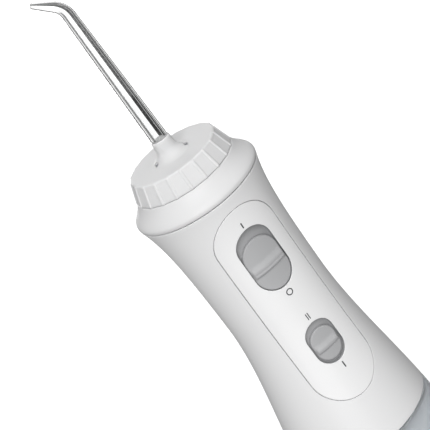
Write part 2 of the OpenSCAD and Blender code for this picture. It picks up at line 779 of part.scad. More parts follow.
module reservoir() {
    color([0.9, 0.93, 0.95, 0.7]) difference() {
        union() {
            difference() {
                tank_outline();
                tank_hollow();
            }
            translate([0, mouth_y, 0]) tube(mouth_r, 24, 71, join_z - groove / 2 - 1);
            for (s = [-1, 1]) translate([s * 4.6, 0, 0]) {
                rod_x(1.6, hinge_y, hinge_z, -1.1, 1.1);
                box(-1.1, 1.1, hinge_y - 2.2, hinge_y, hinge_z - 1.6, hinge_z + 1.2);
            }
        }
        translate([0, mouth_y, 60]) cylinder(r = mouth_r, h = 30);
        rod_y(9.6, 0, door_z, 20, 60);
        difference() {
            rod_y(door_r + 0.3, 0, door_z, 20, 60);
            translate([0, back_shift, 0]) cylinder(r = waist_r + base_flare - 1.05, h = 100);
        }
        rod_x(2, hinge_y, hinge_z, -3.3, 3.3);
        box(-3.3, 3.3, hinge_y - 1.75, hinge_y + 1, hinge_z, hinge_z + 3);
        rod_x(0.85, hinge_y, hinge_z, -8, 8);
        translate([0, back_shift, 0]) cylinder(r = pad_r + slack, h = pad_t + 0.05);
    }
}

module fill_door() {
    skin_r = waist_r + base_flare;
    color([0.9, 0.93, 0.95, 0.7]) difference() {
        union() {
            intersection() {
                rod_y(door_r, 0, door_z, 25, 60);
                translate([0, back_shift, 0]) tube(skin_r - 0.95, skin_r - 0.03, 20, 60);
            }
            intersection() {
                rod_y(8.9, 0, door_z, 25, 60);
                translate([0, back_shift, 0]) tube(skin_r - 2.6, skin_r - 0.5, 20, 60);
            }
            rod_x(1.6, hinge_y, hinge_z, -3.2, 3.2);
            box(-3.2, 3.2, hinge_y - 1.6, hinge_y - 0.8, hinge_z, hinge_z + 2.6);
        }
        rod_x(0.85, hinge_y, hinge_z, -8, 8);
        rod_y(8, 0, door_z, 30, back_shift + skin_r - 1.6);
        translate([0, back_shift, 0]) intersection() {
            tube(skin_r - 2.1, skin_r - 1.3, 20, 60);
            difference() {
                rod_y(9.5, 0, door_z, 20, 60);
                rod_y(8.35, 0, door_z, 15, 65);
            }
        }
    }
}

module door_hinge_pin() {
    color([0.8, 0.8, 0.82]) rod_x(0.8, hinge_y, hinge_z, -5.6, 5.6);
}

module door_seal() {
    skin_r = waist_r + base_flare;
    color([0.2, 0.2, 0.22]) translate([0, back_shift, 0]) intersection() {
        tube(skin_r - 2.05, skin_r - 1.35, 20, 60);
        difference() {
            rod_y(9.3, 0, door_z, 20, 60);
            rod_y(8.4, 0, door_z, 15, 65);
        }
    }
}

module base_pad() {
    color([0.45, 0.45, 0.47]) translate([0, back_shift, 0]) {
        cylinder(r1 = pad_r - 0.6, r2 = pad_r, h = 0.6);
        translate([0, 0, 0.6]) cylinder(r = pad_r, h = pad_t - 0.6);
    }
}

// ---- screws ----
module pump_screws() {
    color([0.8, 0.8, 0.82]) for (s = [-1, 1]) translate([s * 9, pump_y, 0]) {
        translate([0, 0, 136.5]) cylinder(r = 1, h = 5.2);
        translate([0, 0, 141.65]) cylinder(r = 1.8, h = 1.2);
    }
}

module cap_screws() {
    color([0.8, 0.8, 0.82]) for (p = cap_screw_places) translate([p.x, p.y, 0]) {
        translate([0, 0, 79.5]) cylinder(r = 1.2, h = 7.5);
        translate([0, 0, 78.6]) cylinder(r = 2.2, h = 1.8);
    }
}

jet_tip();
tip_oring();
rotation_knob();
knob_oring();
knob_clip();
tip_latches();
shoulder_collar();
neck_deck();
handle_shell();
switch_panel();
power_slider();
power_floor();
pressure_slider();
pressure_floor();
circuit_board();
power_switch();
pressure_switch();
battery_left();
battery_right();
battery_holder();
battery_contacts();
motor_can();
motor_endcap();
motor_armature();
motor_shaft();
pinion();
drive_gear();
gear_axle();
crank_pin();
connecting_rod();
wrist_pin();
piston();
piston_seal();
pump_body();
pump_head();
inlet_valve();
outlet_valve();
outlet_tube();
suction_tube();
chassis();
base_cap();
cap_seal();
reservoir_seal();
intake_tube();
intake_filter();
release_button();
release_spring();
reservoir();
fill_door();
door_hinge_pin();
door_seal();
base_pad();
charge_contacts();
pump_screws();
cap_screws();
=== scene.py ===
import json
import math

import bmesh
import bpy
import numpy as np
from mathutils import Matrix, Vector
from mathutils.geometry import delaunay_2d_cdt


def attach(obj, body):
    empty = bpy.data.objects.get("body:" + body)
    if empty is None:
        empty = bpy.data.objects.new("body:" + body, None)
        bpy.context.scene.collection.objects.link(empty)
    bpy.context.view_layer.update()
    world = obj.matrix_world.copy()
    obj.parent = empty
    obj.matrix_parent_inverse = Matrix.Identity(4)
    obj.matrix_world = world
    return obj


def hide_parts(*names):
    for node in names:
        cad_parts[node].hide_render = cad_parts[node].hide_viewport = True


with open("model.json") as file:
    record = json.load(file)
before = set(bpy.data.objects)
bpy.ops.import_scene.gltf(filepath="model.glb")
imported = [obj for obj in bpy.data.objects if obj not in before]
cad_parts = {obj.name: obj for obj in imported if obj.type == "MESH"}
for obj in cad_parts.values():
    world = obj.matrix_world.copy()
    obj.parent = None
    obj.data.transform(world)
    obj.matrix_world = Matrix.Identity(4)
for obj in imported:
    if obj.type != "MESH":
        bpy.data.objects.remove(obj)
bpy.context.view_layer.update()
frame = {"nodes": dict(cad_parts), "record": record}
MM = 0.001
TAU = 2 * math.pi
PI = math.pi


# ---- the outer form: circles whose radius and centre follow the height (mm) ----
def low(z):
    t = np.clip((145 - np.asarray(z, float)) / 95, 0, 1)
    return 1 - (1 - t ** 1.75) ** 2.2


def body_r(z):
    return 21.95 + 4.25 * np.exp((np.asarray(z, float) - 198.4) / 13.5) + 10 * low(z)


def body_c(z):
    return 8 * low(z)


def skin(phi, z, inset=0.0):
    """Points of the outer form drawn in by inset. phi is 0 at the front and grows to the right."""
    phi, z = np.broadcast_arrays(np.asarray(phi, float), np.asarray(z, float))
    r = body_r(z) - inset
    return np.stack([r * np.sin(phi), body_c(z) - r * np.cos(phi), z], axis=-1)


def barrel(radius, cy=0.0):
    """Points on a round barrel of that radius about an upright axis at y = cy."""
    def place(phi, z, inset=0.0):
        phi, z = np.broadcast_arrays(np.asarray(phi, float), np.asarray(z, float))
        r = radius - inset
        return np.stack([r * np.sin(phi), cy - r * np.cos(phi), z], axis=-1)
    return place


def smooth(x, a, b):
    t = np.clip((np.asarray(x, float) - a) / (b - a), 0, 1)
    return t * t * (3 - 2 * t)


# ---- outlines: a rounded rectangle is (half x, half z, corner radius, centre x, centre z) ----
def ring(shape, off=0.0, arc=16, step=0.9):
    hx, hz, r, cx, cz = shape
    pts = []
    corners = [(hx, hz, 0), (-hx, hz, 90), (-hx, -hz, 180), (hx, -hz, 270)]
    for k, (x, z, a0) in enumerate(corners):
        for i in range(arc + 1):
            a = math.radians(a0 + 90 * i / arc)
            p = (cx + x + (r + off) * math.cos(a), cz + z + (r + off) * math.sin(a))
            if not pts or math.dist(p, pts[-1]) > 1e-6:
                pts.append(p)
        x1, z1, a1 = corners[(k + 1) % 4]
        gap = math.hypot(x1 - x, z1 - z)
        if gap > 1e-6:
            n = max(2, int(round(gap / step)))
            a = math.radians(a0 + 90)
            for i in range(1, n):
                t = i / n
                pts.append((cx + x + (x1 - x) * t + (r + off) * math.cos(a),
                            cz + z + (z1 - z) * t + (r + off) * math.sin(a)))
    if math.dist(pts[0], pts[-1]) < 1e-6:
        pts.pop()
    return np.array(pts)


def away(shape, x, z):
    """Distance outside an outline, negative inside."""
    hx, hz, r, cx, cz = shape
    qx, qz = np.abs(x - cx) - hx, np.abs(z - cz) - hz
    return np.hypot(np.maximum(qx, 0), np.maximum(qz, 0)) + np.minimum(np.maximum(qx, qz), 0) - r


def edge(radius, sense, depth, n=4, supports=(0.45, 0.15)):
    """(offset, depth) steps of a rounded edge that then runs down to depth.

    sense is +1 round an opening, -1 round a lid.
    """
    steps = [(sense * (radius + s), 0.0) for s in supports]
    for i in range(n + 1):
        a = math.radians(90 * i / n)
        steps.append((sense * radius * (1 - math.sin(a)), radius * (1 - math.cos(a))))
    steps.append((0.0, radius + 0.15))
    steps.append((0.0, depth))
    return steps


class Piece:
    """Gathers the points (mm) and faces of one piece."""

    def __init__(self):
        self.points = []
        self.faces = []

    def add(self, pts):
        start = len(self.points)
        self.points.extend([tuple(float(c) for c in p) for p in pts])
        return list(range(start, start + len(pts)))

    def strip(self, a, b, closed=True):
        n = len(a)
        for i in range(n if closed else n - 1):
            j = (i + 1) % n
            self.faces.append((a[i], a[j], b[j], b[i]))

    def loops(self, rings, closed=True):
        ids = [self.add(r) for r in rings]
        for a, b in zip(ids, ids[1:]):
            self.strip(a, b, closed)
        return ids

    def cap(self, loop, inner=6):
        """Closes a loop with rings that shrink to its middle."""
        pts = np.array([self.points[i] for i in loop])
        mid = pts.mean(axis=0)
        last = loop
        for k in range(1, inner):
            new = self.add(pts + (mid - pts) * (k / inner))
            self.strip(last, new)
            last = new
        centre = self.add([mid])[0]
        n = len(last)
        for i in range(n):
            self.faces.append((last[i], last[(i + 1) % n], centre))

    def fill(self, place, loops2d, loop_ids, grid2d, keep):
        """Triangles over a flat (s, z) domain with holes. The loops' points exist already."""
        coords, owners, edges = [], [], []
        for pts, ids in zip(loops2d, loop_ids):
            base = len(coords)
            coords.extend(Vector((float(p[0]), float(p[1]))) for p in pts)
            owners.extend(ids)
            edges.extend((base + i, base + (i + 1) % len(pts)) for i in range(len(pts)))
        coords.extend(Vector((float(p[0]), float(p[1]))) for p in grid2d)
        owners.extend(self.add(place(grid2d)))
        flat, _, tris, source, _, _ = delaunay_2d_cdt(coords, edges, [], 0, 1e-7, True)
        who = [owners[s[0]] if s else None for s in source]
        for t in tris:
            if any(who[i] is None for i in t):
                continue
            mx = sum(flat[i][0] for i in t) / len(t)
            mz = sum(flat[i][1] for i in t) / len(t)
            if keep(mx, mz):
                self.faces.append(tuple(who[i] for i in t))

    def build(self, name, material, body, node=None, sharp=40, centre=None, merge=2e-4):
        mesh = bpy.data.meshes.new(name)
        mesh.from_pydata([Vector(p) * MM for p in self.points], [], self.faces)
        bm = bmesh.new()
        bm.from_mesh(mesh)
        bmesh.ops.remove_doubles(bm, verts=bm.verts, dist=merge * MM)
        bmesh.ops.recalc_face_normals(bm, faces=bm.faces)
        if centre is not None:
            ref = Vector(centre) * MM
            if sum(f.normal.dot(f.calc_center_median() - ref) * f.calc_area() for f in bm.faces) < 0:
                bmesh.ops.reverse_faces(bm, faces=bm.faces)
        bm.to_mesh(mesh)
        bm.free()
        obj = bpy.data.objects.new(name, mesh)
        bpy.context.scene.collection.objects.link(obj)
        finish_piece(obj, material, body, node, sharp)
        return obj


def finish_piece(obj, material, body, node=None, sharp=40):
    mesh = obj.data
    mesh.polygons.foreach_set("use_smooth", [True] * len(mesh.polygons))
    if sharp:
        mesh.set_sharp_from_angle(angle=math.radians(sharp))
    mesh.materials.clear()
    mesh.materials.append(material)
    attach(obj, body)
    if node:
        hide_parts(*([node] if isinstance(node, str) else node))


# ---- materials ----
def node_of(tree, kind, **values):
    n = tree.nodes.new(kind)
    for k, v in values.items():
        setattr(n, k, v)
    return n


def moulded(name, colour, rough, tint=0.02, grain=0.06, grain_scale=2600, patch_scale=90,
            rough_span=0.05, fine=0.00004, wear=0.0, stretch=(1, 1, 1), **shader):
    """A plastic, rubber or metal: fine grain in the bump, slow changes of tone, rubbed patches."""
    mat = bpy.data.materials.new(name)
    mat.use_nodes = True
    t = mat.node_tree
    bsdf = t.nodes["Principled BSDF"]
    where = node_of(t, "ShaderNodeTexCoord")
    frame_map = node_of(t, "ShaderNodeMapping")
    frame_map.inputs["Scale"].default_value = stretch
    t.links.new(where.outputs["Object"], frame_map.inputs["Vector"])
    grain_tex = node_of(t, "ShaderNodeTexNoise")
    grain_tex.inputs["Scale"].default_value = grain_scale
    grain_tex.inputs["Detail"].default_value = 4.0
    grain_tex.inputs["Roughness"].default_value = 0.6
    t.links.new(frame_map.outputs["Vector"], grain_tex.inputs["Vector"])
    flow = node_of(t, "ShaderNodeTexNoise")
    flow.inputs["Scale"].default_value = patch_scale
    flow.inputs["Detail"].default_value = 3.0
    flow.inputs["Distortion"].default_value = 0.3
    t.links.new(where.outputs["Object"], flow.inputs["Vector"])
    shade = node_of(t, "ShaderNodeMix", data_type="RGBA")
    shade.inputs["A"].default_value = (*[c * (1 - tint) for c in colour], 1)
    shade.inputs["B"].default_value = (*[min(1.0, c * (1 + tint)) for c in colour], 1)
    t.links.new(flow.outputs["Fac"], shade.inputs["Factor"])
    t.links.new(shade.outputs["Result"], bsdf.inputs["Base Color"])
    scuff = node_of(t, "ShaderNodeTexNoise")
    scuff.inputs["Scale"].default_value = patch_scale * 7
    scuff.inputs["Detail"].default_value = 6.0
    scuff.inputs["Roughness"].default_value = 0.7
    t.links.new(where.outputs["Object"], scuff.inputs["Vector"])
    both = node_of(t, "ShaderNodeMath", operation="ADD")
    t.links.new(flow.outputs["Fac"], both.inputs[0])
    t.links.new(scuff.outputs["Fac"], both.inputs[1])
    gloss = node_of(t, "ShaderNodeMapRange")
    gloss.inputs["From Min"].default_value = 0.6
    gloss.inputs["From Max"].default_value = 1.4
    gloss.inputs["To Min"].default_value = max(0.0, rough - rough_span)
    gloss.inputs["To Max"].default_value = min(1.0, rough + rough_span + wear)
    t.links.new(both.outputs["Value"], gloss.inputs["Value"])
    t.links.new(gloss.outputs["Result"], bsdf.inputs["Roughness"])
    bump = node_of(t, "ShaderNodeBump")
    bump.inputs["Strength"].default_value = grain
    bump.inputs["Distance"].default_value = fine
    t.links.new(grain_tex.outputs["Fac"], bump.inputs["Height"])
    t.links.new(bump.outputs["Normal"], bsdf.inputs["Normal"])
    for k, v in shader.items():
        bsdf.inputs[k.replace("_", " ")].default_value = v
    return mat


def brushed(name, colour, rough, lines=9000, axis=(1, 1, 0.03), **shader):
    return moulded(name, colour, rough, tint=0.04, grain=0.12, grain_scale=lines, patch_scale=140,
                   rough_span=0.07, stretch=axis, Metallic=1.0, **shader)


shell_white = moulded("shell_white", (0.86, 0.86, 0.863), 0.34, tint=0.006, grain=0.10, grain_scale=3200,
                      rough_span=0.03, wear=0.04, Coat_Weight=0.12, Coat_Roughness=0.22, IOR=1.5)
collar_white = moulded("collar_white", (0.71, 0.71, 0.713), 0.4, tint=0.006, grain=0.10, grain_scale=3200,
                       rough_span=0.03, wear=0.04, Specular_IOR_Level=0.35)
panel_white = moulded("panel_white", (0.91, 0.91, 0.912), 0.30, tint=0.005, grain=0.07, grain_scale=3600,
                      rough_span=0.03, wear=0.03, Coat_Weight=0.15, Coat_Roughness=0.2, IOR=1.5)
knob_white = moulded("knob_white", (0.725, 0.725, 0.728), 0.52, tint=0.008, grain=0.08, grain_scale=3000,
                     rough_span=0.04, wear=0.04, Subsurface_Weight=0.35, Subsurface_Scale=0.003,
                     Subsurface_Radius=(1.0, 0.97, 0.94), Specular_IOR_Level=0.22)
slider_grey = moulded("slider_grey", (0.45, 0.453, 0.46), 0.42, tint=0.015, grain=0.16, grain_scale=4200,
                      rough_span=0.04, wear=0.06)
# floor_grey is the grey of the window floors and linings, set darker than their own grey (near the slider's)
# as painted shade for the recesses
floor_grey = moulded("floor_grey", (0.37, 0.373, 0.38), 0.5, tint=0.02, grain=0.12, grain_scale=3500)
mark_grey = moulded("mark_grey", (0.075, 0.077, 0.082), 0.45, tint=0.05, grain=0.1, grain_scale=5200)
button_grey = moulded("button_grey", (0.45, 0.455, 0.465), 0.42, tint=0.015, grain=0.15, grain_scale=4200)
seal_black = moulded("seal_black", (0.02, 0.02, 0.022), 0.5, tint=0.2, grain=0.25, grain_scale=2400)
pad_rubber = moulded("pad_rubber", (0.16, 0.165, 0.17), 0.75, tint=0.08, grain=0.5, grain_scale=1800,
                     fine=0.0001, rough_span=0.08)
steel = brushed("steel", (0.62, 0.62, 0.63), 0.28)
spring_steel = brushed("spring_steel", (0.56, 0.56, 0.58), 0.3, axis=(1, 1, 1))
frame_grey = moulded("frame_grey", (0.30, 0.31, 0.33), 0.5, tint=0.04, grain=0.2, grain_scale=2200)
inner_white = moulded("inner_white", (0.70, 0.705, 0.71), 0.45, tint=0.02, grain=0.15, grain_scale=2400)
gear_acetal = moulded("gear_acetal", (0.78, 0.76, 0.70), 0.4, tint=0.03, grain=0.1, Subsurface_Weight=0.1,
                       Subsurface_Scale=0.002, Subsurface_Radius=(1.0, 0.95, 0.85))
brass = brushed("brass", (0.78, 0.57, 0.24), 0.3)
can_steel = brushed("can_steel", (0.50, 0.51, 0.53), 0.32, axis=(0.05, 1, 1))
copper = brushed("copper", (0.72, 0.36, 0.20), 0.35, axis=(1, 0.05, 1))
black_plastic = moulded("black_plastic", (0.03, 0.031, 0.034), 0.42, tint=0.1, grain=0.2)
board_green = moulded("board_green", (0.03, 0.16, 0.07), 0.35, tint=0.15, grain=0.3, grain_scale=1500,
                      patch_scale=420, fine=0.00008)
cell_wrap = moulded("cell_wrap", (0.06, 0.22, 0.42), 0.25, tint=0.05, grain=0.1, Coat_Weight=0.3)
silicone = moulded("silicone", (0.66, 0.68, 0.70), 0.4, tint=0.03, grain=0.1, Transmission_Weight=0.35,
                   Subsurface_Weight=0.1, Subsurface_Scale=0.002, Subsurface_Radius=(1.0, 1.0, 1.0))
gold_contact = brushed("gold_contact", (0.62, 0.46, 0.22), 0.42, axis=(1, 1, 1))
tip_clear = moulded("tip_clear", (0.985, 0.99, 0.99), 0.005, tint=0.005, grain=0.01, grain_scale=260,
                    rough_span=0.005, fine=0.00002, Transmission_Weight=1.0, IOR=1.57)
# the tip's white foot glows a little: painted light for the light the glass keeps from it
tip_root_painted_glow = moulded("tip_root_painted_glow", (0.78, 0.78, 0.782), 0.5, tint=0.01, grain=0.08, grain_scale=3000,
                   Emission_Color=(1, 1, 1, 1), Emission_Strength=0.15)
tank_frost = moulded("tank_frost", (0.83, 0.86, 0.885), 0.38, tint=0.01, grain=0.2, grain_scale=3400,
                     rough_span=0.05, Transmission_Weight=0.72, IOR=1.49)

SLOTS = {"shell_white": shell_white, "panel_white": panel_white, "knob_white": knob_white,
         "slider_grey": slider_grey, "floor_grey": floor_grey, "tip_clear": tip_clear,
         "tank_frost": tank_frost, "seal_black": seal_black, "pad_rubber": pad_rubber, "steel": steel,
         "spring_steel": spring_steel, "frame_grey": frame_grey, "inner_white": inner_white,
         "gear_acetal": gear_acetal, "brass": brass, "can_steel": can_steel, "copper": copper,
         "black_plastic": black_plastic, "board_green": board_green, "cell_wrap": cell_wrap,
         "silicone": silicone, "button_grey": button_grey, "gold_contact": gold_contact}
for part in frame["record"]["subparts"]:
    for slot in frame["nodes"][part["node"]].material_slots:
        slot.material = SLOTS[part["material_slot"]]

# ---- outlines on the front and the back ----
PANEL = (0, 32.3, 14, 0, 146.9)
POWER_WINDOW = (0, 6.1, 7.95, 0, 169.45)
PRESSURE_WINDOW = (0, 3.25, 6.35, 0, 127.2)
POWER_KEY = (0, 3.65, 7.65, 0, 166.9)
PRESSURE_KEY = (0, 1.7, 5.55, 0, 126.15)
BUTTON = (5, 0, 4, 0, 93)
DOOR = (0, 0, 11.5, 0, 40)
CONTACTS = [(0, 0, 1.65, x, 150) for x in (-4, 4)]
S = 26.0


def turned(x, z, radius, back=False):
    a = np.arcsin(np.clip(np.asarray(x) / radius(z), -1, 1))
    return PI - a if back else a


def rim(piece, shape, steps, place, radius, back=False, **kw):
    """Rings that follow an outline down its rounded edge.

    Returns the first ring flat and its point numbers.
    """
    rings, first = [], None
    for off, depth in steps:
        xz = ring(shape, off, **kw)
        phi = turned(xz[:, 0], xz[:, 1], lambda z: radius(z) - depth, back)
        rings.append(place(phi, xz[:, 1], depth))
        if first is None:
            first = np.stack([phi * S, xz[:, 1]], axis=1)
    ids = piece.loops(rings)
    return first, ids[0], ids


def grid_points(s0, s1, z0, z1, ds, dz, spare):
    """Inner grid points of a domain, without those that spare() refuses."""
    ns, nz = int(round((s1 - s0) / ds)), int(round((z1 - z0) / dz))
    s = s0 + (s1 - s0) * np.arange(1, ns) / ns
    z = z0 + (z1 - z0) * np.arange(1, nz) / nz
    gs, gz = [a.ravel() for a in np.meshgrid(s, z)]
    ok = spare(gs / S, gz)
    return np.stack([gs[ok], gz[ok]], axis=1)


def round_wall(piece, z0, z1, columns, dz, front, back, place=skin):
    """The wall of the outer form between two heights, with openings whose first rings are given.
    front and back hold (shape, clearance, flat ring, ids). Returns the lowest and highest rows."""
    s0 = -PI / 2 * S
    s1 = s0 + TAU * S
    rows = int(round((z1 - z0) / dz))
    ss = s0 + (s1 - s0) * np.arange(columns + 1) / columns
    zs = z0 + (z1 - z0) * np.arange(rows + 1) / rows
    bottom = [(s, z0) for s in ss]
    right = [(s1, z) for z in zs[1:]]
    top = [(s, z1) for s in ss[::-1][1:]]
    left = [(s0, z) for z in zs[::-1][1:-1]]
    outline = np.array(bottom + right + top + left)
    ids = piece.add(place(outline[:, 0] / S, outline[:, 1]))

    def gap(phi, z):
        x = body_r(z) * np.sin(phi)
        behind = np.cos(phi) < 0
        d = np.full(np.shape(phi), 99.0)
        for shape, clear, *_ in front:
            d = np.where(behind, d, np.minimum(d, away(shape, x, z) - clear))
        for shape, clear, *_ in back:
            d = np.where(behind, np.minimum(d, away(shape, x, z) - clear), d)
        return d

    grid = grid_points(s0, s1, z0, z1, (s1 - s0) / columns, (z1 - z0) / rows, lambda p, z: gap(p, z) > 0.5)
    loops2d = [outline] + [f[2] for f in front + back]
    loop_ids = [ids] + [f[3] for f in front + back]
    piece.fill(lambda g: place(g[:, 0] / S, g[:, 1]), loops2d, loop_ids, grid,
               lambda s, z: gap(np.float64(s / S), np.float64(z)) > 0)
    low_row = ids[:columns + 1]
    high_row = ids[columns + rows:2 * columns + rows + 1]
    return low_row, high_row[::-1], ss / S


def turn_rows(piece, row, phis, steps, place=skin):
    """Carries an open row round a rim; steps are functions of phi that give points."""
    last = row
    for z, inset in steps:
        new = piece.add(place(phis, np.full_like(phis, z), inset))
        piece.strip(last, new, closed=False)
        last = new
    return last


# ---- grip shell ----
def make_shell():
    p = Piece()
    opening = (PANEL[0], PANEL[1], PANEL[2] + 0.13, PANEL[3], PANEL[4])
    steps = edge(0.12, 1, 1.08, supports=(0.45, 0.12)) + [(-3.0, 1.08)]
    f, f_ids, _ = rim(p, opening, steps, skin, body_r)
    back = []
    hole = (BUTTON[0], BUTTON[1], BUTTON[2] + 0.25, BUTTON[3], BUTTON[4])
    b, b_ids, _ = rim(p, hole, edge(0.3, 1, 2.2), skin, body_r, back=True)
    back.append((hole, 0.75, b, b_ids))
    for c in CONTACTS:
        r, r_ids, _ = rim(p, c, edge(0.25, 1, 2.0, supports=(0.3, 0.1)), skin, body_r, back=True, arc=8)
        back.append((c, 0.55, r, r_ids))
    round_e = 0.3
    top = 198.62
    z0, z1 = 78.2 + round_e, top - round_e
    lo, hi, phis = round_wall(p, z0, z1, 144, 1.2, [(opening, 0.57, f, f_ids)], back)
    arc = [math.radians(a) for a in (22.5, 45, 67.5, 90)]
    down = [(z0 - round_e * math.sin(a), round_e * (1 - math.cos(a))) for a in arc]
    turn_rows(p, lo, phis, down + [(78.2, 1.2), (78.2, 2.2), (80, 2.2), (90, 2.2)])
    up = [(z1 + round_e * math.sin(a), round_e * (1 - math.cos(a))) for a in arc]
    turn_rows(p, hi, phis, up + [(top, 1.2), (top, 2.74), (196, 2.2), (193, 2.0)])
    return p.build("grip_shell", shell_white, "grip", "handle_shell", centre=(0, 4, 140))


# ---- switch panel with its two windows ----
def make_panel():
    p = Piece()
    edge_shape = (PANEL[0], PANEL[1], PANEL[2] - 0.14, PANEL[3], PANEL[4])
    o, o_ids, _ = rim(p, edge_shape, edge(0.14, -1, 1.0, supports=(0.45, 0.12)), skin, body_r)
    w = []
    for shape in (POWER_WINDOW, PRESSURE_WINDOW):
        r, r_ids, _ = rim(p, shape, edge(0.14, 1, 0.3, supports=(0.45, 0.12)), skin, body_r)
        w.append((shape, r, r_ids))

    def clear(phi, z):
        x = body_r(z) * np.sin(phi)
        d = -away(edge_shape, x, z) - 0.59
        for shape, *_ in w:
            d = np.minimum(d, away(shape, x, z) - 0.59)
        return d

    grid = grid_points(-20, 20, 100, 193, 1.0, 1.0, lambda a, z: clear(a, z) > 0.45)
    p.fill(lambda g: skin(g[:, 0] / S, g[:, 1]), [o] + [r for _, r, _ in w], [o_ids] + [i for *_, i in w],
           grid, lambda s, z: clear(np.float64(s / S), np.float64(z)) > 0)
    return p.build("panel_face", panel_white, "grip", "switch_panel", centre=(0, 20, 146))


# ---- grey linings of the two windows, their grey deepened as painted shade ----
def make_linings():
    p = Piece()
    for shape in (POWER_WINDOW, PRESSURE_WINDOW):
        rim(p, shape, [(0.25, 1.05), (0.0, 1.0), (0.0, 0.24), (-0.03, 0.2), (-0.07, 0.26), (-0.08, 0.5),
                       (-0.08, 2.4), (0.25, 2.45)], skin, body_r)
    return p.build("window_linings", floor_grey, "grip", sharp=50)


# ---- sliders with a soft ridge across them ----
def make_key(name, shape, node, body, climb, fall):
    """climb and fall are the heights, from the slider's middle, where the ridge begins and ends."""
    p = Piece()
    mid = shape[4]
    place = barrel(21.75)

    def surface(phi, z, inset):
        x = 21.75 * np.sin(phi)
        inside = -away(shape, x, z)
        h = smooth(z, mid + fall[1], mid + fall[0]) * (1 - smooth(z, mid + climb[1], mid + climb[0]))
        crease = 0.16 * np.exp(-((z - mid - (climb[1] + fall[0]) / 2) / 0.3) ** 2)
        h = (h * 0.98 - crease) * smooth(inside, 0.15, 1.1)
        return place(phi, z, inset - h)

    r, r_ids, _ = rim(p, shape, edge(0.6, -1, 1.2, n=7), surface, lambda z: 21.75, arc=20, step=0.5)

    def clear(phi, z):
        return -away(shape, 21.75 * np.sin(phi), z) - 1.05

    w = shape[2] * 1.25 * S / 21.75
    h = shape[1] + shape[2]
    grid = grid_points(-w, w, mid - h, mid + h, 0.55, 0.3, lambda a, z: clear(a, z) > 0.2)
    p.fill(lambda g: surface(g[:, 0] / S, g[:, 1], 0.0), [r], [r_ids], grid,
           lambda s, z: clear(np.float64(s / S), np.float64(z)) > 0)
    return p.build(name, slider_grey, body, node, centre=(0, 20, mid))


# ---- printed marks: a bar, a ring and two bars ----
def make_marks():
    p = Piece()

    def bar(x, z0, z1, half=0.26):
        shape = (0, (z1 - z0) / 2 - half, half, x, (z0 + z1) / 2)
        r, ids, _ = rim(p, shape, [(-0.06, -0.03), (-0.03, -0.028), (0, -0.02), (0, 0.03)], skin, body_r,
                        arc=5, step=0.6)
        p.cap(ids, 2)

    bar(-0.2, 184.5, 187.0)
    bar(0.38, 113.6, 116.5)
    bar(-0.42, 138.4, 141.3, 0.19)
    bar(0.42, 138.4, 141.3, 0.19)
    turns = np.linspace(0, TAU, 48, endpoint=False)
    tube_rows = []
    for r, lift in ((0.97, -0.03), (0.99, 0.025), (1.2, 0.03), (1.41, 0.025), (1.43, -0.03)):
        x, z = r * np.cos(turns) - 0.02, 152.5 + r * np.sin(turns)
        tube_rows.append(skin(turned(x, z, body_r), z, -lift))
    p.loops(tube_rows)
    return p.build("panel_marks", mark_grey, "grip", centre=(0, 20, 146), sharp=0, merge=1e-5)


# ---- turned parts ----
def chaikin(pts, times=3):
    pts = np.array(pts, float)
    for _ in range(times):
        a, b = pts[:-1], pts[1:]
        q = np.empty((2 * len(a), 2))
        q[0::2], q[1::2] = a * 0.75 + b * 0.25, a * 0.25 + b * 0.75
        pts = np.vstack([pts[:1], q, pts[-1:]])
    return pts


def lathe(piece, profile, columns=192, centre=(0, 0), closed=True):
    a = np.linspace(0, TAU, columns, endpoint=False)
    rings = [np.stack([centre[0] + r * np.cos(a), centre[1] + r * np.sin(a), np.full_like(a, z)], axis=1)
             for r, z in profile]
    ids = piece.loops(rings)
    if closed:
        piece.strip(ids[-1], ids[0])
    return ids


def make_collar():
    c = 26.5
    outer = chaikin([[c - 2.2, 198.82], [c - 0.75, 198.82], [c - 0.1, 199.15], [c, 200.1], [c - 0.25, 200.9],
                     [c - 1.05, 202], [c - 2.25, 203.2], [c - 3.5, 204.6], [c - 4.5, 206], [c - 5, 206.9],
                     [c - 5.25, 207.35], [c - 5.6, 207.58], [c - 6.1, 207.58], [c - 6.4, 207.4]])
    inner = [[c - 6.4, 206.3], [c - 5.4, 204.4], [c - 4, 202], [c - 3.2, 200.4], [21.65, 199.4],
             [21.65, 196.72], [23.28, 196.72], [23.28, 198.82]]
    p = Piece()
    lathe(p, [*map(tuple, outer), *map(tuple, inner)], 240)
    return p.build("collar_skin", collar_white, "grip", "shoulder_collar")


